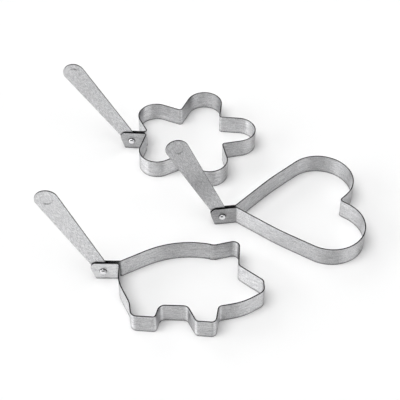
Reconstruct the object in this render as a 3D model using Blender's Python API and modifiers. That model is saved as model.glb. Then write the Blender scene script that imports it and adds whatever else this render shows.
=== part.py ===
"""A set of three folding egg rings: a flower, a heart and a pig.

Each ring is one steel strip bent round pegs to an outline. Its two ends turn outward as a pair of parallel
ears, and a flat tapered handle swings between them on one rivet. Metres, +Z up. The rings stand on the table
plane z = 0, and the origin is under the middle of the set.
"""
import math

import bmesh
import bpy
from mathutils import Matrix, Vector

# Strip: the same stock for all three rings
STRIP_HEIGHT = 0.016
STRIP_THICKNESS = 0.0008
ROOT_BEND_RADIUS = 0.0018

# Ears: the strip's two ends, with the handle between them
EAR_NOSE = 0.0087
EAR_ROOT = 0.0118
EAR_TOP_RADIUS = 0.0044
EAR_CROP_LENGTH = 0.0029
EAR_CROP_HEIGHT = 0.0100
RUNNING_GAP = 0.0003

# Handle: the hull of a small round end and a large one
HANDLE_THICKNESS = 0.001
HANDLE_LENGTH = 0.0780
HANDLE_PIVOT_RADIUS = 0.0050
HANDLE_TIP_RADIUS = 0.0083
DIMPLE_RADIUS = 0.0049
DIMPLE_FLOOR_RADIUS = 0.0038
DIMPLE_DEPTH = 0.0006

# Rivet
RIVET_RADIUS = 0.0015
RIVET_HEAD_RADIUS = 0.0027
RIVET_HEAD_HEIGHT = 0.0019
RIVET_TAIL_RADIUS = 0.0024
RIVET_TAIL_HEIGHT = 0.0009

# Flower outline
PETALS = 5
PETAL_CENTRE_DISTANCE = 0.0362
PETAL_RADIUS = 0.0141
NOTCH_DISTANCE = 0.0288
NOTCH_RADIUS = 0.0022
FLOWER_CENTRE_FROM_PIVOT = 0.0496

# Heart outline, measured from its point along its own axis
LOBE_RADIUS = 0.0257
LOBE_SPACING = 0.0487
LOBE_FROM_POINT = 0.0661
CLEFT_FROM_LOBES = 0.0125
CLEFT_RADIUS = 0.0020
FLANK_RADIUS = 0.190
FLANK_BULGE = 0.0020

# Pig outline, from rump to snout and from ear tip to fore hoof
PIG_LENGTH = 0.1022
PIG_DEPTH = 0.0742
PIG_FAR_ROOT = 0.0140

# Places of the rivets on the table, seen from above, and how each ring is turned
FLOWER_PLACE = (-0.0607, 0.0722)
HEART_PLACE = (0.0111, -0.0137)
PIG_PLACE = (-0.0747, -0.0684)
FLOWER_TURN = math.radians(-3.4)
HEART_TURN = math.radians(7.9)
PIG_TURN = math.radians(-0.6)

# How far each outline's own axis is turned from its ears
FLOWER_LEAN = math.radians(6.4)
HEART_LEAN = math.radians(-3.1)
PIG_LEAN = math.radians(0.3)

# How high each handle is raised from the table at rest
FLOWER_RAISE = math.radians(57.7)
HEART_RAISE = math.radians(65.0)
PIG_RAISE = math.radians(64.3)

# Which way each handle's dimple is pressed: 1 away from the rivet's head, -1 toward it
FLOWER_PRESS = -1
HEART_PRESS = 1
PIG_PRESS = 1

# Fineness of the round stretches
BEND_STEP = math.radians(10.0)
BEND_SAG = 0.00008
ROUND_SIDES = 32
CUT_OVERRUN = 0.001

# Values that follow from the sizes above
EAR_GAP = HANDLE_THICKNESS + 2 * RUNNING_GAP
EAR_OFFSET = (EAR_GAP + STRIP_THICKNESS) / 2
EAR_STACK = EAR_GAP + 2 * STRIP_THICKNESS
PIVOT_HEIGHT = STRIP_HEIGHT / 2
HOLE_RADIUS = RIVET_RADIUS + RUNNING_GAP

# The pegs that the pig is bent round, from the far ear over the back to the near ear: x and radius as shares
# of PIG_LENGTH, y as a share of PIG_DEPTH, both from the root of the ears, and which way the strip turns
PIG_PEG_SHARES = (
    ("back", 0.491, -0.609, 0.633, "right"),
    ("neck", 0.656, 0.353, 0.088, "left"),
    ("ear", 0.795, 0.216, 0.045, "right"),
    ("brow", 0.876, -0.001, 0.044, "left"),
    ("snout top", 0.958, -0.247, 0.041, "right"),
    ("snout bottom", 0.942, -0.310, 0.058, "right"),
    ("throat", 0.685, 0.066, 0.429, "right"),
    ("fore leg front", 0.720, -0.576, 0.034, "left"),
    ("fore hoof front", 0.640, -0.677, 0.034, "right"),
    ("fore hoof back", 0.559, -0.675, 0.029, "right"),
    ("belly front", 0.452, -0.592, 0.042, "left"),
    ("belly back", 0.330, -0.596, 0.049, "left"),
    ("hind hoof front", 0.250, -0.640, 0.020, "right"),
    ("hind hoof back", 0.143, -0.596, 0.044, "right"),
    ("hock", -0.026, -0.540, 0.117, "left"),
    ("rump", 0.293, -0.149, 0.292, "right"),
)


def clear_scene():
    for old in list(bpy.data.objects):
        bpy.data.objects.remove(old, do_unlink=True)


def new_collection(name):
    group = bpy.data.collections.new(name)
    bpy.context.scene.collection.children.link(group)
    return group


def steel(name, colour, roughness):
    material = bpy.data.materials.new(name)
    material.use_nodes = True
    shader = material.node_tree.nodes["Principled BSDF"]
    shader.inputs["Base Color"].default_value = (*colour, 1)
    shader.inputs["Metallic"].default_value = 1
    shader.inputs["Roughness"].default_value = roughness
    return material


# A peg is a place, a radius and the side that it lies on: +1 when the strip turns right round it, -1 when it
# turns left, and radius 0 for the strip's own ends

def peg(x, y, radius, way):
    side = {"right": 1, "left": -1}[way]
    return Vector((x, y)), side * radius, side


def strip_end(x, y):
    return peg(x, y, 0, "right")


def heading_between(first, second):
    """The heading of the straight run that leaves one peg and meets the next."""
    (start, start_radius, _), (end, end_radius, _) = first, second
    along = end - start
    slant = (end_radius - start_radius) / along.length
    return math.atan2(along.y, along.x) + math.asin(max(-1, min(1, slant)))


def round_peg(this_peg, heading_in, heading_out):
    """Points where the strip lies on a peg, from one heading to the next."""
    centre, radius, side = this_peg
    if radius == 0:
        return [centre.copy()]
    sweep = side * (heading_in - heading_out) % math.tau
    if sweep > 1.5 * math.pi:
        sweep = 0
    finest = 2 * math.acos(1 - min(BEND_SAG / abs(radius), 1))
    steps = max(1, math.ceil(sweep / min(BEND_STEP, finest) - 0.01)) if sweep else 1
    points = []
    for step in range(steps + 1):
        heading = heading_in - side * sweep * step / steps
        points.append(centre - radius * Vector((math.sin(heading), -math.cos(heading))))
    return points


def bent_path(pegs):
    """An open line that starts at the first peg, passes round the others and ends at the last."""
    headings = [heading_between(a, b) for a, b in zip(pegs, pegs[1:])]
    points = [pegs[0][0].copy()]
    for this_peg, heading_in, heading_out in zip(pegs[1:-1], headings, headings[1:]):
        points += round_peg(this_peg, heading_in, heading_out)
    return points + [pegs[-1][0].copy()]


def closed_path(pegs):
    """A closed line round all the pegs."""
    count = len(pegs)
    headings = [heading_between(pegs[i], pegs[(i + 1) % count]) for i in range(count)]
    points = []
    for i in range(count):
        points += round_peg(pegs[i], headings[i - 1], headings[i])
    return points


def turned(pegs, angle):
    """The same pegs, turned about the root of the ears."""
    root = Vector((EAR_ROOT, 0))
    spin = Matrix.Rotation(angle, 2)
    return [(root + spin @ (place - root), radius, side) for place, radius, side in pegs]


def with_ears(outline_pegs, far_ear_root=EAR_ROOT):
    """Adds the two ears: each end runs along its ear and turns outward at the root."""
    bend = ROOT_BEND_RADIUS
    far_end = strip_end(-EAR_NOSE, EAR_OFFSET)
    far_root = peg(far_ear_root - bend, EAR_OFFSET + bend, bend, "left")
    near_root = peg(EAR_ROOT - bend, -EAR_OFFSET - bend, bend, "left")
    near_end = strip_end(-EAR_NOSE, -EAR_OFFSET)
    return [far_end, far_root, *outline_pegs, near_root, near_end]


def flower_pegs():
    """Petals and the notches between them, from the far ear clockwise to the near ear."""
    step = math.tau / PETALS
    pegs = []
    for petal in range(PETALS):
        angle = math.pi - step * (petal + 0.5)
        pegs.append(peg(
            FLOWER_CENTRE_FROM_PIVOT + PETAL_CENTRE_DISTANCE * math.cos(angle),
            PETAL_CENTRE_DISTANCE * math.sin(angle), PETAL_RADIUS, "right"))
        if petal < PETALS - 1:
            angle -= step / 2
            distance = NOTCH_DISTANCE + NOTCH_RADIUS
            pegs.append(peg(
                FLOWER_CENTRE_FROM_PIVOT + distance * math.cos(angle),
                distance * math.sin(angle), NOTCH_RADIUS, "left"))
    return pegs


def flank_peg(lobe_x, side):
    """The long gentle curve from the heart's point to one lobe: it bulges past the straight line by a little."""
    lobe_y = side * LOBE_SPACING / 2
    reach = math.hypot(lobe_x - EAR_ROOT, lobe_y)
    heading = math.atan2(lobe_y, lobe_x - EAR_ROOT) + side * math.asin(LOBE_RADIUS / reach)
    half_run = math.sqrt(reach ** 2 - LOBE_RADIUS ** 2) / 2
    inward = side * (FLANK_RADIUS - FLANK_BULGE)
    return peg(
        EAR_ROOT + half_run * math.cos(heading) + inward * math.sin(heading),
        half_run * math.sin(heading) - inward * math.cos(heading), FLANK_RADIUS, "right")


def heart_pegs():
    """Two lobes, the cleft between them and the two flanks."""
    lobes = EAR_ROOT + LOBE_FROM_POINT
    return [
        flank_peg(lobes, 1),
        peg(lobes, LOBE_SPACING / 2, LOBE_RADIUS, "right"),
        peg(lobes + CLEFT_FROM_LOBES + CLEFT_RADIUS, 0, CLEFT_RADIUS, "left"),
        peg(lobes, -LOBE_SPACING / 2, LOBE_RADIUS, "right"),
        flank_peg(lobes, -1),
    ]


def pig_pegs():
    return [
        peg(EAR_ROOT + x * PIG_LENGTH, y * PIG_DEPTH, radius * PIG_LENGTH, way)
        for _, x, y, radius, way in PIG_PEG_SHARES
    ]


def top_trim(distance):
    """How much of the ear's top edge its rounded corner takes off, this far from the nose."""
    inside = EAR_TOP_RADIUS - distance
    if inside <= 0:
        return 0
    return EAR_TOP_RADIUS - math.sqrt(max(EAR_TOP_RADIUS ** 2 - inside ** 2, 0))


def foot_crop(distance):
    """How far the slanted crop lifts the ear's foot, this far from the nose."""
    return EAR_CROP_HEIGHT * max(1 - distance / EAR_CROP_LENGTH, 0)


def ear_columns(side):
    """Places along an ear, from the nose inward, through its rounded top corner and its cropped foot."""
    quarter = math.pi / 2
    steps = math.ceil(quarter / (1.5 * BEND_STEP))
    distances = [EAR_TOP_RADIUS * (1 - math.cos(quarter * step / steps)) for step in range(1, steps + 1)]
    for distance in sorted([*distances, EAR_CROP_LENGTH]):
        yield Vector((distance - EAR_NOSE, side * EAR_OFFSET))


def band(name, pegs, parent, group, cutters, material):
    """A strip bent round the pegs, with its ears cropped at the foot and one rivet hole through both."""
    path = bent_path(pegs)
    path[1:1] = list(ear_columns(1))
    path[-1:-1] = list(ear_columns(-1))[::-1]
    mesh = bpy.data.meshes.new(name)
    edit = bmesh.new()
    foot = [edit.verts.new((point.x, point.y, 0)) for point in path]
    line = [edit.edges.new(pair) for pair in zip(foot, foot[1:])]
    raised = bmesh.ops.extrude_edge_only(edit, edges=line)["geom"]
    top = [item for item in raised if isinstance(item, bmesh.types.BMVert)]
    bmesh.ops.translate(edit, verts=top, vec=(0, 0, STRIP_HEIGHT))
    for vert in edit.verts:
        on_ear = abs(abs(vert.co.y) - EAR_OFFSET) < STRIP_THICKNESS / 2 and vert.co.x < EAR_ROOT / 2
        if on_ear and vert in top:
            vert.co.z -= top_trim(vert.co.x + EAR_NOSE)
        elif on_ear:
            vert.co.z += foot_crop(vert.co.x + EAR_NOSE)
    bmesh.ops.recalc_face_normals(edit, faces=edit.faces)
    edit.to_mesh(mesh)
    edit.free()
    strip = add_object(name, mesh, parent, group, material)
    wall = strip.modifiers.new("wall", "SOLIDIFY")
    wall.thickness = STRIP_THICKNESS
    wall.offset = 0
    wall.use_even_offset = True
    hole = rivet_hole(name, parent, cutters)
    cut = strip.modifiers.new("rivet hole", "BOOLEAN")
    cut.object = hole
    cut.operation = "DIFFERENCE"
    return strip


def rivet_hole(name, parent, cutters):
    """A drill along the rivet's axis, through both ears."""
    mesh = bpy.data.meshes.new(name + "_drill")
    edit = bmesh.new()
    bmesh.ops.create_cone(
        edit, cap_ends=True, segments=ROUND_SIDES, radius1=HOLE_RADIUS, radius2=HOLE_RADIUS,
        depth=EAR_STACK + 2 * CUT_OVERRUN, matrix=Matrix.Rotation(math.pi / 2, 4, "X"))
    edit.to_mesh(mesh)
    edit.free()
    drill = bpy.data.objects.new(name + "_drill", mesh)
    cutters.objects.link(drill)
    drill.parent = parent
    drill.location = (0, 0, PIVOT_HEIGHT)
    drill.hide_render = True
    drill.display_type = "WIRE"
    return drill


def ring_of(edit, radius, x, depth):
    """A closed loop of edges round a point on the handle's axis."""
    made = bmesh.ops.create_circle(
        edit, segments=ROUND_SIDES, radius=radius,
        matrix=Matrix.Translation((x, depth, 0)) @ Matrix.Rotation(math.pi / 2, 4, "X"))["verts"]
    return list({edge for vert in made for edge in vert.link_edges})


def handle(name, raise_angle, press, parent, group, material):
    """A flat bar, the hull of its two round ends, with a rivet hole and a pressed dimple."""
    outline = closed_path([
        peg(0, 0, HANDLE_PIVOT_RADIUS, "right"),
        peg(-HANDLE_LENGTH, 0, HANDLE_TIP_RADIUS, "right"),
    ])
    mesh = bpy.data.meshes.new(name)
    edit = bmesh.new()
    rim = [edit.verts.new((point.x, 0, point.y)) for point in outline]
    border = [edit.edges.new(pair) for pair in zip(rim, rim[1:] + rim[:1])]
    hole = ring_of(edit, HOLE_RADIUS, 0, 0)
    dish = ring_of(edit, DIMPLE_RADIUS, -HANDLE_LENGTH, 0)
    bmesh.ops.triangle_fill(edit, edges=border + hole + dish, use_beauty=True, use_dissolve=False)
    rings = 4
    for step in range(1, rings + 1):
        share = step / rings
        radius = DIMPLE_RADIUS + share * (DIMPLE_FLOOR_RADIUS - DIMPLE_RADIUS)
        depth = press * DIMPLE_DEPTH * (1 - math.cos(math.pi * share)) / 2
        inner = ring_of(edit, radius, -HANDLE_LENGTH, depth)
        bmesh.ops.bridge_loops(edit, edges=dish + inner)
        dish = inner
    bmesh.ops.holes_fill(edit, edges=dish, sides=ROUND_SIDES)
    bmesh.ops.recalc_face_normals(edit, faces=edit.faces)
    edit.to_mesh(mesh)
    edit.free()
    bar = add_object(name, mesh, parent, group, material)
    bar.location = (0, 0, PIVOT_HEIGHT)
    bar.rotation_euler = (0, raise_angle, 0)
    wall = bar.modifiers.new("thickness", "SOLIDIFY")
    wall.thickness = HANDLE_THICKNESS
    wall.offset = 0
    wall.use_even_offset = True
    return bar


def dome(radius, height, steps):
    """Radius and height pairs over a domed head, from its crown to its rim."""
    quarter = math.pi / 2
    for step in range(steps + 1):
        angle = quarter * step / steps
        yield radius * math.sin(angle), height * math.cos(angle)


def rivet(name, parent, group, material):
    """A turned rivet: domed head on the near side, shank, and a flatter formed tail."""
    seat = EAR_STACK / 2 + RUNNING_GAP
    profile = [(r, seat + h) for r, h in dome(RIVET_HEAD_RADIUS, RIVET_HEAD_HEIGHT, 6)]
    profile += [(RIVET_RADIUS, seat), (RIVET_RADIUS, -seat)]
    profile += [(r, -seat - h) for r, h in reversed(list(dome(RIVET_TAIL_RADIUS, RIVET_TAIL_HEIGHT, 5)))]
    mesh = bpy.data.meshes.new(name)
    edit = bmesh.new()
    line = [edit.verts.new((r, 0, z)) for r, z in profile]
    for pair in zip(line, line[1:]):
        edit.edges.new(pair)
    edit.to_mesh(mesh)
    edit.free()
    pin = add_object(name, mesh, parent, group, material)
    pin.location = (0, 0, PIVOT_HEIGHT)
    pin.rotation_euler = (math.pi / 2, 0, 0)
    turn = pin.modifiers.new("turn", "SCREW")
    turn.axis = "Z"
    turn.steps = ROUND_SIDES
    turn.render_steps = ROUND_SIDES
    turn.use_merge_vertices = True
    turn.merge_threshold = 0.00001
    return pin


def add_object(name, mesh, parent, group, material):
    piece = bpy.data.objects.new(name, mesh)
    mesh.materials.append(material)
    mesh.shade_smooth()
    mesh.set_sharp_from_angle(angle=math.radians(30))
    group.objects.link(piece)
    piece.parent = parent
    return piece


def ring_stand(name, place, turn, group):
    """An empty on the table under the rivet, with its X axis along the ears."""
    stand = bpy.data.objects.new(name, None)
    group.objects.link(stand)
    stand.location = (*place, 0)
    stand.rotation_euler = (0, 0, turn)
    return stand


def egg_ring(name, pegs, place, turn, raise_angle, press, group, cutters):
    stand = ring_stand(name + "_ring", place, turn, group)
    strip_steel = steel(name + "_strip_steel", (0.52, 0.52, 0.53), 0.3)
    handle_steel = steel(name + "_handle_steel", (0.60, 0.60, 0.61), 0.35)
    rivet_steel = steel(name + "_rivet_steel", (0.62, 0.62, 0.63), 0.22)
    band(name + "_band", pegs, stand, group, cutters, strip_steel)
    handle(name + "_handle", raise_angle, press, stand, group, handle_steel)
    rivet(name + "_rivet", stand, group, rivet_steel)


def build():
    clear_scene()
    group = new_collection("egg_ring_set")
    cutters = new_collection("cutters")
    flower = with_ears(turned(flower_pegs(), FLOWER_LEAN))
    egg_ring("flower", flower, FLOWER_PLACE, FLOWER_TURN, FLOWER_RAISE, FLOWER_PRESS, group, cutters)
    heart = with_ears(turned(heart_pegs(), HEART_LEAN))
    egg_ring("heart", heart, HEART_PLACE, HEART_TURN, HEART_RAISE, HEART_PRESS, group, cutters)
    pig = with_ears(turned(pig_pegs(), PIG_LEAN), PIG_FAR_ROOT)
    egg_ring("pig", pig, PIG_PLACE, PIG_TURN, PIG_RAISE, PIG_PRESS, group, cutters)


build()
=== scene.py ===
# %% [markdown]
# # Three folding egg rings
#
# The real set is three rings of satin stainless steel strip, a flower, a heart and a pig, each with a flat
# handle that folds on one rivet. The CAD frame holds where each piece is and how it moves. This lesson gives
# every piece the finer form and the finish that the real one has, and leaves the frame where it is.

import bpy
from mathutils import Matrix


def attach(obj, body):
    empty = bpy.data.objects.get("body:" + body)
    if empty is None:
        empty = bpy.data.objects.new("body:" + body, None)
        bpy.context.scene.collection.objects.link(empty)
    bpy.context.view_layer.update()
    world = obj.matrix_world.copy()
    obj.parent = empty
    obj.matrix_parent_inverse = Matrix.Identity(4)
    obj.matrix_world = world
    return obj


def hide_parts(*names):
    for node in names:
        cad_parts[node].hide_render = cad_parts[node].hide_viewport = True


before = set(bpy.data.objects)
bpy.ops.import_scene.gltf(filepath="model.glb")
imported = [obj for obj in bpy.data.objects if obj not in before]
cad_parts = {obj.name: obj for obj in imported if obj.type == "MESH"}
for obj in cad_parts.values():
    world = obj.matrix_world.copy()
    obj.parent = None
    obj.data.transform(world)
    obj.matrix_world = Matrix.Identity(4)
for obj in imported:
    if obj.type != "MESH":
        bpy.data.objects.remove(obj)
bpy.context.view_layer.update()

# %% Tools of the lesson
import math

import bmesh
import bpy
from mathutils import Matrix, Vector

scene = bpy.context.scene
MM = 0.001

# %% [markdown]
# ## The sizes of the stock
#
# All three rings are made of the same strip, 16 mm tall and 0.8 mm thick, and the same 1 mm bar. The numbers
# are those of the CAD, so that each finer piece fills the place of its plain solid. Each ring has its rivet
# at its own origin, its ears along X, and its handle reaching out along -X.

# %% Stock sizes
STRIP_HEIGHT = 16 * MM
STRIP_THICKNESS = 0.8 * MM
STRIP_EDGE_BREAK = 0.12 * MM
ROOT_BEND_RADIUS = 1.8 * MM
EAR_NOSE = 8.7 * MM
EAR_ROOT = 11.8 * MM
EAR_TOP_RADIUS = 4.4 * MM
EAR_CROP_LENGTH = 2.9 * MM
EAR_CROP_HEIGHT = 10 * MM
EAR_CROP_RADIUS = 1 * MM
RUNNING_GAP = 0.3 * MM
HANDLE_THICKNESS = 1 * MM
HANDLE_EDGE_BREAK = 0.2 * MM
HANDLE_LENGTH = 78 * MM
HANDLE_PIVOT_RADIUS = 5 * MM
HANDLE_TIP_RADIUS = 8.3 * MM
RIVET_RADIUS = 1.5 * MM
PIVOT_HEIGHT = STRIP_HEIGHT / 2
HOLE_RADIUS = RIVET_RADIUS + RUNNING_GAP
EAR_OFFSET = (HANDLE_THICKNESS + 2 * RUNNING_GAP + STRIP_THICKNESS) / 2
print("gap between the ears in mm:", round((2 * EAR_OFFSET - STRIP_THICKNESS) / MM, 2))

# %% [markdown]
# ## Pegs
#
# A ring like this is bent round pegs on a jig. So an outline is a short list of pegs: a place, a radius, and
# the way that the strip turns round it. The strip runs straight from one peg to the next, as a belt does, and
# one formula gives the heading of that run. This keeps every bend a true arc, which is what the eye reads in
# the soft bands of light on the real steel.

# %% Pegs and headings
def peg(x, y, radius, way):
    side = {"right": 1, "left": -1}[way]
    return Vector((x, y, 0)), side * radius, side


def heading_between(first, second):
    """The heading of the run between two pegs. Where they just touch, the slant is held at 1."""
    (start, start_radius, _), (end, end_radius, _) = first, second
    along = end - start
    slant = (end_radius - start_radius) / along.length
    return math.atan2(along.y, along.x) + math.asin(max(-1, min(1, slant)))


def meets(this_peg, heading):
    """Where a strip with this heading touches the peg."""
    centre, radius, _ = this_peg
    return centre - radius * Vector((math.sin(heading), -math.cos(heading), 0))


def turned(pegs, degrees):
    root = Vector((EAR_ROOT, 0, 0))
    turn = Matrix.Rotation(math.radians(degrees), 3, "Z")
    return [(root + turn @ (place - root), radius, side) for place, radius, side in pegs]


def with_ears(outline, far_root_x=EAR_ROOT):
    bend = ROOT_BEND_RADIUS
    return [
        peg(-EAR_NOSE, EAR_OFFSET, 0, "right"),
        peg(far_root_x - bend, EAR_OFFSET + bend, bend, "left"),
        *outline,
        peg(EAR_ROOT - bend, -EAR_OFFSET - bend, bend, "left"),
        peg(-EAR_NOSE, -EAR_OFFSET, 0, "right"),
    ]


print("length of an ear in mm:", round((EAR_NOSE + EAR_ROOT - ROOT_BEND_RADIUS) / MM, 1))

# %% [markdown]
# ## The flower's pegs
#
# Five equal petals, each more than half a circle, with a tight notch between each two. The last notch is
# where the ears leave. The outline leans a little on its ears, as the real one does.

# %% Flower outline
def flower_pegs(petals=5, centre=49.6 * MM, petal_out=36.2 * MM, petal_radius=14.1 * MM,
                notch_out=31 * MM, notch_radius=2.2 * MM):
    step = math.tau / petals
    pegs = []
    for petal in range(petals):
        angle = math.pi - step * (petal + 0.5)
        pegs.append(peg(
            centre + petal_out * math.cos(angle), petal_out * math.sin(angle), petal_radius, "right"))
        if petal < petals - 1:
            angle -= step / 2
            pegs.append(peg(
                centre + notch_out * math.cos(angle), notch_out * math.sin(angle), notch_radius, "left"))
    return pegs


flower_outline = with_ears(turned(flower_pegs(), degrees=6.4))
print("flower pegs:", len(flower_outline))

# %% [markdown]
# ## The heart's pegs
#
# Two round lobes and a tight cleft. Each flank is not quite straight: it bulges 2 mm past the straight line
# from the point to the lobe, so one very large peg carries it.

# %% Heart outline
def flank_peg(lobe_x, lobe_y, lobe_radius, side, radius=190 * MM, bulge=2 * MM):
    reach = math.hypot(lobe_x - EAR_ROOT, lobe_y)
    heading = math.atan2(lobe_y, lobe_x - EAR_ROOT) + side * math.asin(lobe_radius / reach)
    half_run = math.sqrt(reach ** 2 - lobe_radius ** 2) / 2
    inward = side * (radius - bulge)
    return peg(
        EAR_ROOT + half_run * math.cos(heading) + inward * math.sin(heading),
        half_run * math.sin(heading) - inward * math.cos(heading), radius, "right")


def heart_pegs(lobe_x=77.9 * MM, lobe_y=24.35 * MM, lobe_radius=25.7 * MM, cleft_x=92.4 * MM,
               cleft_radius=2 * MM):
    return [
        flank_peg(lobe_x, lobe_y, lobe_radius, 1),
        peg(lobe_x, lobe_y, lobe_radius, "right"),
        peg(cleft_x, 0, cleft_radius, "left"),
        peg(lobe_x, -lobe_y, lobe_radius, "right"),
        flank_peg(lobe_x, -lobe_y, lobe_radius, -1),
    ]


heart_outline = with_ears(turned(heart_pegs(), degrees=-3.1))
print("heart pegs:", len(heart_outline))

# %% [markdown]
# ## The pig's pegs
#
# A pig in outline, a plain farm shape: a long back, an ear, a blunt snout, two stubby hooves, and a round
# rump where the ears of the strip leave. Sizes are shares of its length and depth, taken from the root of
# the ears, so that the whole shape grows or shrinks together.

# %% Pig outline
PIG_LENGTH = 102.2 * MM
PIG_DEPTH = 74.2 * MM
PIG_FAR_ROOT = 14 * MM
PIG_SHARES = (
    ("back", 0.491, -0.609, 0.633, "right"),
    ("neck", 0.656, 0.353, 0.088, "left"),
    ("ear", 0.795, 0.216, 0.045, "right"),
    ("brow", 0.876, -0.001, 0.044, "left"),
    ("snout top", 0.958, -0.247, 0.041, "right"),
    ("snout bottom", 0.942, -0.310, 0.058, "right"),
    ("throat", 0.685, 0.066, 0.429, "right"),
    ("fore leg front", 0.720, -0.576, 0.034, "left"),
    ("fore hoof front", 0.640, -0.677, 0.034, "right"),
    ("fore hoof back", 0.559, -0.675, 0.029, "right"),
    ("belly front", 0.452, -0.592, 0.042, "left"),
    ("belly back", 0.330, -0.596, 0.049, "left"),
    ("hind hoof front", 0.250, -0.640, 0.020, "right"),
    ("hind hoof back", 0.143, -0.596, 0.044, "right"),
    ("hock", -0.026, -0.540, 0.117, "left"),
    ("rump", 0.293, -0.149, 0.292, "right"),
)
pig_outline = with_ears(turned([
    peg(EAR_ROOT + x * PIG_LENGTH, y * PIG_DEPTH, radius * PIG_LENGTH, way)
    for _, x, y, radius, way in PIG_SHARES
], degrees=0.3), PIG_FAR_ROOT)
print("pig pegs:", len(pig_outline))

# %% [markdown]
# ## Where each ring stands
#
# Seen from above, each ring has a place for its rivet, a turn on the table, and a raise of its handle. A
# finished piece keeps its object at the origin, so these are worked into the mesh by one matrix. The dimple
# in each handle is pressed toward the rivet's head (-1) or away from it (1).

# %% Places
RINGS = {
    "flower": {
        "pegs": flower_outline, "place": (-60.7 * MM, 72.2 * MM), "turn": -3.4, "raise": 57.7, "press": -1},
    "heart": {
        "pegs": heart_outline, "place": (11.1 * MM, -13.7 * MM), "turn": 7.9, "raise": 65.0, "press": 1},
    "pig": {
        "pegs": pig_outline, "place": (-74.7 * MM, -68.4 * MM), "turn": -0.6, "raise": 64.3, "press": 1},
}


def ring_matrix(ring):
    return Matrix.Translation((*ring["place"], 0)) @ Matrix.Rotation(math.radians(ring["turn"]), 4, "Z")


def handle_matrix(ring):
    lift = Matrix.Translation((0, 0, PIVOT_HEIGHT))
    return ring_matrix(ring) @ lift @ Matrix.Rotation(math.radians(ring["raise"]), 4, "Y")


print("rings:", ", ".join(RINGS))

# %% [markdown]
# ## Bending the strip
#
# The strip starts as one upright edge at the nose of the far ear. Extruding and moving that edge feeds the
# strip straight on, and spinning it about a peg bends it. A curve with a bevel could also make the band, but
# feeding an edge gives clean columns of faces and exact arcs.

# %% Feed and bend
BEND_STEP = math.radians(2.5)
VERT, EDGE = bmesh.types.BMVert, bmesh.types.BMEdge


def of_kind(items, kind):
    return [item for item in items if isinstance(item, kind)]


def feed(edit, edge, place):
    """Runs the strip straight on until its last upright edge stands at this place."""
    now = edge.verts[0].co
    step = Vector((place.x - now.x, place.y - now.y, 0))
    made = bmesh.ops.extrude_edge_only(edit, edges=[edge])["geom"]
    bmesh.ops.translate(edit, verts=of_kind(made, VERT), vec=step)
    return next(item for item in of_kind(made, EDGE) if all(vert in made for vert in item.verts))


def bend(edit, edge, centre, angle):
    """Bends the strip about a peg by this angle."""
    made = bmesh.ops.spin(
        edit, geom=[edge, *edge.verts], cent=centre, axis=(0, 0, 1), angle=angle,
        steps=math.ceil(abs(angle) / BEND_STEP), use_duplicate=False)["geom_last"]
    return of_kind(made, EDGE)[0]


def bend_strip(edit, pegs):
    """Feeds a strip past all the pegs, and returns its first and last upright edge."""
    headings = [heading_between(a, b) for a, b in zip(pegs, pegs[1:])]
    foot = edit.verts.new(pegs[0][0])
    top = edit.verts.new(pegs[0][0] + Vector((0, 0, STRIP_HEIGHT)))
    first = edge = edit.edges.new((foot, top))
    for this_peg, heading_in, heading_out in zip(pegs[1:-1], headings, headings[1:]):
        centre, _, side = this_peg
        edge = feed(edit, edge, meets(this_peg, heading_in))
        sweep = side * (heading_in - heading_out) % math.tau
        edge = bend(edit, edge, centre, -side * sweep)
    return first, feed(edit, edge, pegs[-1][0])


print("steps in a quarter bend:", math.ceil(math.pi / 2 / BEND_STEP))

# %% [markdown]
# ## Round openings in a flat face
#
# A drilled hole in a flat sheet could be cut by a Boolean. A loop of edges in the face, with the skin between
# the border and the loop filled again, gives the same hole with faces that stay flat. The skin is made of
# long triangles, which smear the shading of any rounded edge that they touch. So a narrow ring of faces
# stands between them and each edge: an inset along the border, and one step inward at each loop.

# %% Openings in a flat face
ROUND_SIDES = 48
FLAT_MARGIN = 0.5 * MM


def step_ring(edit, loop, centre, size, sink=0):
    """Grows one ring of faces inside a round loop, scaled and sunk, and returns its inner loop."""
    made = bmesh.ops.extrude_edge_only(edit, edges=loop)["geom"]
    verts = of_kind(made, VERT)
    bmesh.ops.scale(edit, verts=verts, vec=(size, 1, size), space=Matrix.Translation(-centre))
    bmesh.ops.translate(edit, verts=verts, vec=(0, sink, 0))
    return [item for item in of_kind(made, EDGE) if all(vert in verts for vert in item.verts)]


def open_face(edit, face, circles):
    """Opens round loops in a flat upright face, one for each centre and radius, and returns the loops."""
    bmesh.ops.inset_region(edit, faces=[face], thickness=FLAT_MARGIN, use_boundary=True, use_even_offset=True)
    skin = list(face.edges)
    bmesh.ops.delete(edit, geom=[face], context="FACES_ONLY")
    loops = []
    for centre, radius in circles:
        verts = bmesh.ops.create_circle(
            edit, segments=ROUND_SIDES, radius=radius + FLAT_MARGIN,
            matrix=Matrix.Translation(centre) @ Matrix.Rotation(math.pi / 2, 4, "X"))["verts"]
        loops.append(list({edge for vert in verts for edge in vert.link_edges}))
        skin += loops[-1]
    bmesh.ops.triangle_fill(edit, edges=skin, use_beauty=True, use_dissolve=False)
    return [step_ring(edit, loop, centre, radius / (radius + FLAT_MARGIN))
            for loop, (centre, radius) in zip(loops, circles)]


print("sides of a round opening:", ROUND_SIDES)

# %% [markdown]
# ## The ears
#
# On the real strip each end is cropped on a slant at the foot, rounded at the top, and drilled for the rivet.
# A cut by a plane that clears its outer side crops the foot as the shears do, and a bevel of the corner
# vertices rounds the corners.

# %% Crop, round and drill the ears
CORNER_SEGMENTS = 10


def round_corner(edit, vert, radius):
    bmesh.ops.bevel(
        edit, geom=[vert], offset=radius, offset_type="OFFSET", segments=CORNER_SEGMENTS, profile=0.5,
        affect="VERTICES", material=-1, clamp_overlap=False)


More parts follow.
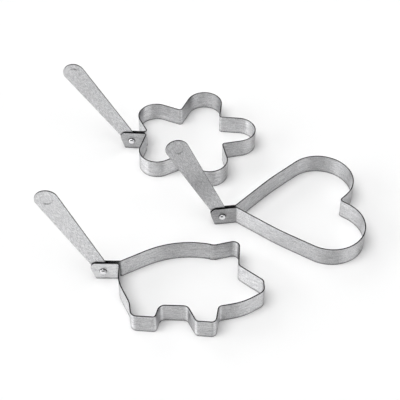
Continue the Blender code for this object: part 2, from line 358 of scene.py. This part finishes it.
def crop_nose(edit, edge):
    ear = edge.link_faces[0]
    top = max(edge.verts, key=lambda vert: vert.co.z)
    cut = bmesh.ops.bisect_plane(
        edit, geom=[ear, *ear.edges, *ear.verts], plane_co=(-EAR_NOSE, 0, EAR_CROP_HEIGHT),
        plane_no=(-EAR_CROP_HEIGHT, 0, -EAR_CROP_LENGTH), clear_outer=True)["geom_cut"]
    round_corner(edit, top, EAR_TOP_RADIUS)
    for vert in of_kind(cut, VERT):
        round_corner(edit, vert, EAR_CROP_RADIUS)


def drill_ear(edit, ear):
    centre = Vector((0, ear.calc_center_median().y, PIVOT_HEIGHT))
    open_face(edit, ear, [(centre, HOLE_RADIUS)])


print("hole in the ear in mm:", round(2 * HOLE_RADIUS / MM, 1))

# %% [markdown]
# ## From sheet to piece
#
# A thickness, rounded edges and clean normals finish each sheet-metal piece. Solidify gives the wall, and
# puts the cut edges in a second material, because a sheared edge has no brushing. Bevel breaks the sharp
# edges by a tenth or two of a millimetre, as tumbling does. Weighted normals keep the flats flat, so that
# their reflections stay straight.

# %% Finish a sheet-metal piece
MERGE_DISTANCE = 0.002 * MM
SHARP_ANGLE = math.radians(40)
BREAK_ANGLE = math.radians(50)


def new_piece(name, edit, matrix):
    """Cleans the mesh, moves it to its place and links it as an object that stays at the origin."""
    bmesh.ops.remove_doubles(edit, verts=edit.verts, dist=MERGE_DISTANCE)
    bmesh.ops.recalc_face_normals(edit, faces=edit.faces)
    bmesh.ops.transform(edit, matrix=matrix, verts=edit.verts)
    mesh = bpy.data.meshes.new(name)
    edit.to_mesh(mesh)
    edit.free()
    mesh.shade_smooth()
    mesh.set_sharp_from_angle(angle=SHARP_ANGLE)
    piece = bpy.data.objects.new(name, mesh)
    scene.collection.objects.link(piece)
    return piece


def sheet_piece(name, edit, matrix, thickness, edge_break):
    piece = new_piece(name, edit, matrix)
    wall = piece.modifiers.new("thickness", "SOLIDIFY")
    wall.thickness = thickness
    wall.offset = 0
    wall.use_even_offset = True
    wall.material_offset_rim = 1
    rounding = piece.modifiers.new("broken edges", "BEVEL")
    rounding.width = edge_break
    rounding.segments = 3
    rounding.profile = 0.5
    rounding.limit_method = "ANGLE"
    rounding.angle_limit = BREAK_ANGLE
    rounding.use_clamp_overlap = False
    rounding.material = -1
    level = piece.modifiers.new("even flats", "WEIGHTED_NORMAL")
    level.keep_sharp = False
    level.weight = 80
    return piece


print("broken edges in mm:", round(STRIP_EDGE_BREAK / MM, 2), round(HANDLE_EDGE_BREAK / MM, 2))

# %% [markdown]
# ## The three bands
#
# A band is the whole strip of one ring. It is bent first, because the pegs need the plain edge, and its two
# ends are cropped, rounded and drilled afterwards, while it is still a sheet without thickness. The ears are
# found again as the two flat faces beside the rivet.

# %% Make the bands
def is_ear(face):
    middle = face.calc_center_median()
    return middle.x < EAR_ROOT / 2 and abs(abs(middle.y) - EAR_OFFSET) < STRIP_THICKNESS / 2


def band(name, ring):
    edit = bmesh.new()
    first, last = bend_strip(edit, ring["pegs"])
    for edge in (first, last):
        crop_nose(edit, edge)
    ears = [face for face in edit.faces if is_ear(face)]
    for ear in ears:
        drill_ear(edit, ear)
    print(name, "faces:", len(edit.faces), "ears:", len(ears))
    return sheet_piece(name, edit, ring_matrix(ring), STRIP_THICKNESS, STRIP_EDGE_BREAK)


bands = {kind: band(kind + "_strip", ring) for kind, ring in RINGS.items()}

# %% [markdown]
# ## The bar of a handle
#
# A handle is one stamped bar: small and round at the rivet, wide and round at the tip, with straight sides
# that touch both circles. A hull round two circles could give that outline too. Here one vertex walks round
# it, fed along the sides and spun about the two ends, which gives even steps and one closed loop.

# %% Outline of the bar
END_STEPS = 48
SIDE_SLANT = math.asin((HANDLE_TIP_RADIUS - HANDLE_PIVOT_RADIUS) / HANDLE_LENGTH)


def walk(edit, vert, place):
    made = bmesh.ops.extrude_vert_indiv(edit, verts=[vert])["verts"][0]
    bmesh.ops.translate(edit, verts=[made], vec=place - vert.co)
    return made


def swing(edit, vert, centre, angle):
    made = bmesh.ops.spin(
        edit, geom=[vert], cent=centre, axis=(0, 1, 0), angle=angle, steps=END_STEPS,
        use_duplicate=False)["geom_last"]
    return of_kind(made, VERT)[0]


def bar_outline(edit):
    tip = Vector((-HANDLE_LENGTH, 0, 0))
    up = Vector((math.sin(SIDE_SLANT), 0, math.cos(SIDE_SLANT)))
    down = Vector((up.x, 0, -up.z))
    vert = edit.verts.new(HANDLE_PIVOT_RADIUS * up)
    vert = walk(edit, vert, tip + HANDLE_TIP_RADIUS * up)
    vert = swing(edit, vert, tip, -(math.pi + 2 * SIDE_SLANT))
    vert = walk(edit, vert, HANDLE_PIVOT_RADIUS * down)
    swing(edit, vert, (0, 0, 0), -(math.pi - 2 * SIDE_SLANT))
    bmesh.ops.remove_doubles(edit, verts=edit.verts, dist=MERGE_DISTANCE)


print("slant of the bar's sides in degrees:", round(math.degrees(SIDE_SLANT), 1))

# %% [markdown]
# ## The three handles
#
# Near the tip of the bar the press leaves a shallow round recess with a soft shoulder and a flat bottom. A
# displacement could push it in, but stepping a round loop inward and down along a soft curve puts the faces
# just where the shoulder turns.

# %% Make the handles
DIMPLE_RADIUS = 4.9 * MM
DIMPLE_FLOOR_RADIUS = 3.8 * MM
DIMPLE_DEPTH = 0.6 * MM
DIMPLE_STEPS = 8


def press_dimple(edit, loop, centre, press):
    radius, depth = DIMPLE_RADIUS, 0
    for step in range(1, DIMPLE_STEPS + 1):
        share = step / DIMPLE_STEPS
        next_radius = DIMPLE_RADIUS + share * (DIMPLE_FLOOR_RADIUS - DIMPLE_RADIUS)
        next_depth = press * DIMPLE_DEPTH * (1 - math.cos(math.pi * share)) / 2
        loop = step_ring(edit, loop, centre, next_radius / radius, next_depth - depth)
        radius, depth = next_radius, next_depth
    floor = bmesh.ops.contextual_create(edit, geom=loop)["faces"]
    bmesh.ops.inset_region(edit, faces=floor, thickness=FLAT_MARGIN, use_even_offset=True)


def handle(name, ring):
    edit = bmesh.new()
    bar_outline(edit)
    flat = bmesh.ops.contextual_create(edit, geom=edit.edges)["faces"][0]
    pivot, tip = Vector((0, 0, 0)), Vector((-HANDLE_LENGTH, 0, 0))
    _, loop = open_face(edit, flat, [(pivot, HOLE_RADIUS), (tip, DIMPLE_RADIUS)])
    press_dimple(edit, loop, tip, ring["press"])
    print(name, "faces:", len(edit.faces))
    return sheet_piece(name, edit, handle_matrix(ring), HANDLE_THICKNESS, HANDLE_EDGE_BREAK)


handles = {kind: handle(kind + "_bar", ring) for kind, ring in RINGS.items()}

# %% [markdown]
# ## The three rivets
#
# A rivet is round about its own axis, so half of its outline is enough: a domed head, the shank, and the
# lower dome of the formed tail. A quarter turn of one vertex draws each dome, squashed to its height, and a
# full spin of the outline makes the solid.

# %% Make the rivets
RIVET_HEAD = (2.7 * MM, 1.9 * MM)
RIVET_TAIL = (2.4 * MM, 0.9 * MM)
RIVET_SEAT = EAR_OFFSET + STRIP_THICKNESS / 2 + RUNNING_GAP
DOME_STEPS = 18


def dome(edit, radius, height, way):
    """A quarter arc from the crown to the rim, on the head's side (1) or the tail's side (-1)."""
    crown = edit.verts.new((0, 0, way * radius))
    made = bmesh.ops.spin(
        edit, geom=[crown], cent=(0, 0, 0), axis=(0, 1, 0), angle=way * math.pi / 2, steps=DOME_STEPS,
        use_duplicate=False)["geom_last"]
    rim = of_kind(made, VERT)[0]
    arc = [vert for vert in edit.verts if vert.co.z * way > -MERGE_DISTANCE and not vert.tag]
    bmesh.ops.scale(edit, verts=arc, vec=(1, 1, height / radius))
    bmesh.ops.translate(edit, verts=arc, vec=(0, 0, way * RIVET_SEAT))
    for vert in arc:
        vert.tag = True
    return rim


def rivet(name, ring):
    edit = bmesh.new()
    head_rim = dome(edit, *RIVET_HEAD, 1)
    tail_rim = dome(edit, *RIVET_TAIL, -1)
    shank = walk(edit, head_rim, Vector((RIVET_RADIUS, 0, RIVET_SEAT)))
    shank = walk(edit, shank, Vector((RIVET_RADIUS, 0, -RIVET_SEAT)))
    edit.edges.new((shank, tail_rim))
    bmesh.ops.spin(
        edit, geom=[*edit.verts, *edit.edges], cent=(0, 0, 0), axis=(0, 0, 1), angle=math.tau,
        steps=ROUND_SIDES, use_merge=True, use_duplicate=False)
    lay_down = Matrix.Translation((0, 0, PIVOT_HEIGHT)) @ Matrix.Rotation(math.pi / 2, 4, "X")
    piece = new_piece(name, edit, ring_matrix(ring) @ lay_down)
    print(name, "faces:", len(piece.data.polygons))
    return piece


rivets = {kind: rivet(kind + "_pin", ring) for kind, ring in RINGS.items()}

# %% [markdown]
# ## Steel
#
# Everything here is stainless steel, and what differs is how each surface was worked. Steel has no colour of
# its own beyond a light grey, so its base colour is that grey, fully metallic, and the default IOR. Four
# helpers do the writing: one fills a node's sockets with values or links, one adds a node with its settings
# and links, one starts a material, and one turns a written sRGB colour to the linear values of a shader.

# %% Node and colour helpers
def plug(tree, node, sockets):
    for name, value in sockets.items():
        if isinstance(value, bpy.types.NodeSocket):
            tree.links.new(value, node.inputs[name])
        else:
            node.inputs[name].default_value = value
    return node


def add(tree, kind, sockets=None, **settings):
    made = tree.nodes.new("ShaderNode" + kind)
    for name, value in settings.items():
        setattr(made, name, value)
    return plug(tree, made, sockets or {})


def new_material(name):
    material = bpy.data.materials.new(name)
    material.use_nodes = True
    return material, material.node_tree, material.node_tree.nodes["Principled BSDF"]


def colour(code):
    parts = [int(code[place:place + 2], 16) / 255 for place in (0, 2, 4)]
    return (*[part / 12.92 if part <= 0.04045 else ((part + 0.055) / 1.055) ** 2.4 for part in parts], 1)


print("middle grey in linear values:", [round(part, 3) for part in colour("808080")])

# %% [markdown]
# ## Painted shade in the joints
#
# Where two pieces nearly touch, light hardly gets in, so the joint under each handle reads as a black
# line. Ambient Occlusion measures how closed in each point is within 3 mm, and the base colour goes from the
# clean steel to a dark painted shade with it. A painted mask could do the same, but this one follows the
# pieces by itself.

# %% Painted shade in closed corners
PAINTED_SHADE_REACH = 3 * MM
PAINTED_SHADE_TONE = "141415"


def with_painted_shade(tree, clean, full_shade_at=0.4, no_shade_at=0.85):
    """The clean colour, with painted shade where other surfaces are close, between these two shares of open
    sky.
    """
    closed = add(tree, "AmbientOcclusion", {"Distance": PAINTED_SHADE_REACH}, samples=8)
    open_share = add(tree, "MapRange", {"Value": closed.outputs["AO"], "From Min": full_shade_at, "From Max": no_shade_at})
    mixed = add(tree, "Mix", {0: open_share.outputs[0], 6: colour(PAINTED_SHADE_TONE), 7: clean}, data_type="RGBA")
    return mixed.outputs[2]


print("reach of the painted_shade in mm:", round(PAINTED_SHADE_REACH / MM, 1))

# %% [markdown]
# ## Brushed strip
#
# The coil is brushed along its length, so every scratch is level all round the ring. Such scratches spread a
# highlight up and down but hardly sideways: the walls show broad upright bands of light and dark where they
# turn. Anisotropy gives that, with the tangent upright. It is a constant direction, turned with the piece.
# Real scratches are about 0.05 mm apart, which is a fifteenth of a pixel here, so the grain is drawn as
# coarse as 0.5 mm to show at all. Between the scratches the rolled skin has a fine mottling, drawn at 0.7 mm,
# and over 14 mm or so the brushing drifts a little rougher and finer.

# %% Brushed steel
SCRATCH_WIDTH = 0.5 * MM
SCRATCH_DEPTH = 0.05 * MM
SCRATCH_SHARE = 0.65
MOTTLE_SIZE = 0.7 * MM
DRIFT_SIZE = 14 * MM
ROUGHNESS_DRIFT = 0.04


def brushed_steel(name, tones, roughness, anisotropy, across, scratch_length, place=(0, 0, 0),
                  rotation=(0, 0, 0), painted_marks=None):
    """Brushed steel. The scratches run square to the direction across, in the frame of place and rotation,
    and a last function, if given, adds painted light, shade and reflection to the clean colour."""
    material, tree, shader = new_material(name)
    spot = add(tree, "TexCoord").outputs["Object"]
    stretched = add(tree, "Mapping", {
        "Vector": spot, "Location": place, "Rotation": rotation,
        "Scale": (scratch_length, scratch_length, SCRATCH_WIDTH)}, vector_type="TEXTURE").outputs[0]
    grain = add(tree, "TexNoise", {"Vector": stretched, "Scale": 1, "Detail": 2, "Roughness": 0.6}).outputs[0]
    mottle = add(tree, "TexNoise", {"Vector": spot, "Scale": 1 / MOTTLE_SIZE, "Detail": 0}).outputs[0]
    drift = add(tree, "TexNoise", {
        "Vector": spot, "Scale": 1 / DRIFT_SIZE, "Detail": 2, "Roughness": 0.5}).outputs[0]
    skin = add(tree, "Mix", {0: SCRATCH_SHARE, 2: mottle, 3: grain}, data_type="FLOAT").outputs[0]
    share = add(tree, "MapRange", {"Value": skin, "From Min": 0.36, "From Max": 0.64}).outputs[0]
    light, dark = tones
    tone = add(tree, "Mix", {0: share, 6: colour(dark), 7: colour(light)}, data_type="RGBA").outputs[2]
    clean = painted_marks(tree, spot, tone) if painted_marks else tone
    rough = add(tree, "MapRange", {
        "Value": drift, "From Min": 0.3, "From Max": 0.7,
        "To Min": roughness - ROUGHNESS_DRIFT, "To Max": roughness + ROUGHNESS_DRIFT}).outputs[0]
    relief = add(tree, "Bump", {"Height": grain, "Strength": 0.35, "Distance": SCRATCH_DEPTH}).outputs[0]
    tangent = add(
        tree, "VectorTransform", {"Vector": across}, vector_type="VECTOR", convert_from="OBJECT",
        convert_to="WORLD").outputs[0]
    # The base colour carries a painted shade where other surfaces are close.
    plug(tree, shader, {
        "Metallic": 1, "Anisotropic": anisotropy, "Tangent": tangent, "Base Color": with_painted_shade(tree, clean),
        "Roughness": rough, "Normal": relief})
    return material


print("scratches drawn in mm:", round(SCRATCH_WIDTH / MM, 2))

# %% [markdown]
# ## Tones of the strips, with painted shade, reflection and light
#
# Each ring has its own tones, and the heart's are darker than the other two, a painted shade. A thin dark
# line along the strip's top edge is a painted reflection of the dim room above. The ears carry painted light:
# a factor on the colour that makes the pig's bright and the other two a little darker, and fades out where
# the ears bend away, 10 mm from the rivet.

# %% Steel of the strips
# The heart's tones are a painted shade darker than the other two.
STRIP_TONES_AND_PAINTED_SHADE = {
    "flower": ("F0F0F1", "BEBEC0"),
    "heart": ("E6E6E7", "B6B6B8"),
    "pig": ("ECECED", "BABABC"),
}
RIM_REFLECTION_TONE = "2A2A2C"
RIM_REFLECTION_HEIGHT = 0.15 * MM
EAR_PAINTED_LIGHT = {"flower": 0.86, "heart": 0.88, "pig": 1.4}
EAR_PAINTED_LIGHT_REACH = 9.5 * MM
EAR_PAINTED_LIGHT_END = 11.5 * MM


def with_painted_rim_reflection(tree, spot, clean):
    """The clean colour, with a painted dark reflection along the top edge that fades out over its own height.
    """
    height = add(tree, "SeparateXYZ", {"Vector": spot}).outputs["Z"]
    clear = add(tree, "MapRange", {
        "Value": height, "From Min": STRIP_HEIGHT - RIM_REFLECTION_HEIGHT, "From Max": STRIP_HEIGHT - 2 * RIM_REFLECTION_HEIGHT})
    lined = add(tree, "Mix", {0: clear.outputs[0], 6: colour(RIM_REFLECTION_TONE), 7: clean}, data_type="RGBA")
    return lined.outputs[2]


def with_painted_ear_light(tree, spot, clean, rivet_place, light_factor):
    """The clean colour, times this factor of painted light on the ears; below 1 it paints shade."""
    level_spot = add(tree, "VectorMath", {0: spot, 1: (1, 1, 0)}, operation="MULTIPLY").outputs[0]
    away = add(tree, "VectorMath", {0: level_spot, 1: (*rivet_place, 0)}, operation="DISTANCE")
    factor = add(tree, "MapRange", {
        "Value": away.outputs["Value"], "From Min": EAR_PAINTED_LIGHT_REACH, "From Max": EAR_PAINTED_LIGHT_END,
        "To Min": light_factor, "To Max": 1})
    return add(tree, "VectorMath", {0: clean, "Scale": factor.outputs[0]}, operation="SCALE").outputs[0]


def strip_steel(kind, ring):
    # A painted dark reflection along the top edge, and painted light and shade on the ears.
    def painted_marks(tree, spot, clean):
        return with_painted_rim_reflection(tree, spot, with_painted_ear_light(tree, spot, clean, ring["place"], EAR_PAINTED_LIGHT[kind]))

    return brushed_steel(
        "brushed_stainless_strip_" + kind, STRIP_TONES_AND_PAINTED_SHADE[kind], roughness=0.42, anisotropy=1,
        across=(0, 0, 1), scratch_length=6 * MM, painted_marks=painted_marks)


strip_steels = {kind: strip_steel(kind, ring) for kind, ring in RINGS.items()}
print("materials:", ", ".join(steel.name for steel in strip_steels.values()))

# %% [markdown]
# ## Cut edge
#
# Shears leave a dull, torn edge. Its colour is painted much darker than the brushed face, a painted dark
# reflection of the dim room, and it shows as the thin dark line that draws each ring's outline.

# %% Sheared edge
# Near-black tones, a painted dark reflection of the dim room.
EDGE_TONES_PAINTED_DARK = ("141416", "343437")
TEAR_SIZE = 0.8 * MM


def sheared_edge(name):
    material, tree, shader = new_material(name)
    spot = add(tree, "TexCoord").outputs["Object"]
    torn = add(tree, "TexNoise", {
        "Vector": spot, "Scale": 1 / TEAR_SIZE, "Detail": 3, "Roughness": 0.6}).outputs[0]
    dark, light = EDGE_TONES_PAINTED_DARK
    tone = add(tree, "Mix", {0: torn, 6: colour(dark), 7: colour(light)}, data_type="RGBA").outputs[2]
    rough = add(tree, "MapRange", {"Value": torn, "To Min": 0.38, "To Max": 0.52}).outputs[0]
    plug(tree, shader, {"Metallic": 1, "Base Color": tone, "Roughness": rough})
    return material


cut_edge = sheared_edge("sheared_steel_edge_painted_dark")
print("material:", cut_edge.name)

# %% [markdown]
# ## Brushed handles
#
# The bar stock of the handles is brushed along its length too, but each handle leans its own way, so each
# has its own turn of the same pattern.

# %% Steel of the handles
# The heart's bar tones are a painted shade darker than the other two.
BAR_TONES_AND_PAINTED_SHADE = {
    "flower": ("EAEAEB", "B8B8BA"),
    "heart": ("DADADB", "AAAAAC"),
    "pig": ("EEEEEF", "BCBCBE"),
}


def handle_steel(kind, ring):
    return brushed_steel(
        "brushed_stainless_bar_" + kind, BAR_TONES_AND_PAINTED_SHADE[kind], roughness=0.45, anisotropy=0.8,
        across=handle_matrix(ring).to_3x3() @ Vector((0, 0, 1)), scratch_length=3 * MM,
        place=(*ring["place"], PIVOT_HEIGHT),
        rotation=(0, math.radians(ring["raise"]), math.radians(ring["turn"])))


handle_steels = {kind: handle_steel(kind, ring) for kind, ring in RINGS.items()}
print("materials:", ", ".join(steel.name for steel in handle_steels.values()))

# %% [markdown]
# ## Rivet steel
#
# The head is struck by a polished tool, so it is smoother than the rest and carries one bright spot, with
# faint marks of the tool. A painted shade lies thick round its foot, where the head closes in on the ear.

# %% Steel of the rivets
RIVET_TONES = ("E2E2E4", "F0F0F1")
TOOL_MARK_SIZE = 0.9 * MM
TOOL_MARK_DEPTH = 0.02 * MM


def struck_steel(name):
    material, tree, shader = new_material(name)
    spot = add(tree, "TexCoord").outputs["Object"]
    struck = add(tree, "TexNoise", {
        "Vector": spot, "Scale": 1 / TOOL_MARK_SIZE, "Detail": 2, "Roughness": 0.5}).outputs[0]
    dark, light = RIVET_TONES
    tone = add(tree, "Mix", {0: struck, 6: colour(dark), 7: colour(light)}, data_type="RGBA").outputs[2]
    rough = add(tree, "MapRange", {"Value": struck, "To Min": 0.06, "To Max": 0.16}).outputs[0]
    relief = add(tree, "Bump", {"Height": struck, "Strength": 0.2, "Distance": TOOL_MARK_DEPTH}).outputs[0]
    # The base colour carries a painted shade, thickest round the head's foot.
    plug(tree, shader, {
        "Metallic": 1, "Base Color": with_painted_shade(tree, tone, full_shade_at=0.8, no_shade_at=0.98), "Roughness": rough,
        "Normal": relief})
    return material


rivet_steel = struck_steel("struck_stainless_rivet")
print("material:", rivet_steel.name)

# %% [markdown]
# ## Join each piece to the frame
#
# Each piece rides on the body of its CAD solid and takes that solid's place. The band and rivet are one body,
# because the rivet is set fast in the ears, and the handle swings on it.

# %% Ride and replace
for kind in RINGS:
    for piece, body, node, slot, finishes in (
        (bands[kind], "_ring", "_band", "_strip_steel", (strip_steels[kind], cut_edge)),
        (handles[kind], "_grip", "_handle", "_handle_steel", (handle_steels[kind], cut_edge)),
        (rivets[kind], "_ring", "_rivet", "_rivet_steel", (rivet_steel,)),
    ):
        for finish in finishes:
            piece.data.materials.append(finish)
        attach(piece, kind + body)
        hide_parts(kind + node)
print("pieces:", len(bands) + len(handles) + len(rivets))

# %% [markdown]
# ## Floor
#
# The rings stand on a plain white board. It is matt, so it shows nothing but their soft shadows.

# %% White board
BOARD_REACH = 20

edit = bmesh.new()
bmesh.ops.create_grid(edit, x_segments=1, y_segments=1, size=BOARD_REACH)
floor_mesh = bpy.data.meshes.new("white_board")
edit.to_mesh(floor_mesh)
edit.free()
floor = bpy.data.objects.new("white_board", floor_mesh)
scene.collection.objects.link(floor)
board, board_tree, board_shader = new_material("matt_white_board")
plug(board_tree, board_shader, {
    "Base Color": colour("FBFBFB"), "Roughness": 0.9, "Specular IOR Level": 0.1})
floor_mesh.materials.append(board)
print("board across in metres:", 2 * BOARD_REACH)

# %% [markdown]
# ## Studio light
#
# The set is lit by a few large soft lights in a dim room, as such small steel goods are: steel shows little
# but what stands round it, and only a room with dark gaps between its lights gives the walls their bands.
# Area lamps could make them, but lights painted on the world are just as bright far away as near, so the
# board stays even. Each one is a round patch with a soft edge: its compass direction and height in degrees,
# the angle where it starts to fade and where it ends, and its brightness.

# %% Soft lights on the world
SOFT_LIGHTS = (
    ("low left", 189, 5, 28, 33, 2.45),
    ("high front left", 202, 65, 17, 22, 3.8),
    ("right front", 328, 9, 23, 29, 1.35),
    ("back left", 125, 29, 10, 23, 2),
    ("overhead", 0, 81, 32, 35, 1),
    ("behind the camera", 270, 44, 2, 18, 0.5),
)
ROOM = 0.1


def toward(compass, height):
    """The direction to a spot of the sky, from its compass direction and height in degrees."""
    compass, height = math.radians(compass), math.radians(height)
    return math.cos(height) * math.cos(compass), math.cos(height) * math.sin(compass), math.sin(height)


world = bpy.data.worlds.new("studio")
scene.world = world
world.use_nodes = True
sky = world.node_tree
gaze = add(sky, "TexCoord").outputs["Generated"]
level = ROOM
for _, compass, height, inner, outer, bright in SOFT_LIGHTS:
    facing = add(sky, "VectorMath", {0: gaze, 1: toward(compass, height)}, operation="DOT_PRODUCT")
    patch = add(sky, "MapRange", {
        "Value": facing.outputs["Value"], "From Min": math.cos(math.radians(outer)),
        "From Max": math.cos(math.radians(inner)), "To Max": bright}, interpolation_type="SMOOTHSTEP")
    level = add(sky, "Math", {0: level, 1: patch.outputs[0]}, operation="ADD").outputs[0]
plug(sky, sky.nodes["Background"], {"Color": (1, 1, 1, 1), "Strength": level})
print("soft lights:", len(SOFT_LIGHTS))

# %% [markdown]
# ## Camera
#
# The photograph looks down on the rings at about 45 degrees from 0.82 m away, through a long lens. The focal
# length was measured in the photograph's own pixels, of which it has 400 across.

# %% Camera
PHOTO_PIXELS = 400
FOCAL_PIXELS = 1056.6
SENSOR_WIDTH = 36
NEAREST_VIEW = 10 * MM
ELEVATION = math.radians(44.78)
DISTANCE = 819 * MM
TARGET = Vector((-5.5 * MM, 10.4 * MM, 0))

lens = bpy.data.cameras.new("camera")
lens.sensor_width = SENSOR_WIDTH
lens.lens = SENSOR_WIDTH * FOCAL_PIXELS / PHOTO_PIXELS
lens.clip_start = NEAREST_VIEW
camera = bpy.data.objects.new("camera", lens)
scene.collection.objects.link(camera)
camera.location = TARGET + DISTANCE * Vector((0, -math.cos(ELEVATION), math.sin(ELEVATION)))
camera.rotation_euler = (math.pi / 2 - ELEVATION, 0, 0)
scene.camera = camera
scene.view_settings.view_transform = "Standard"
print("lens in mm:", round(lens.lens, 1))
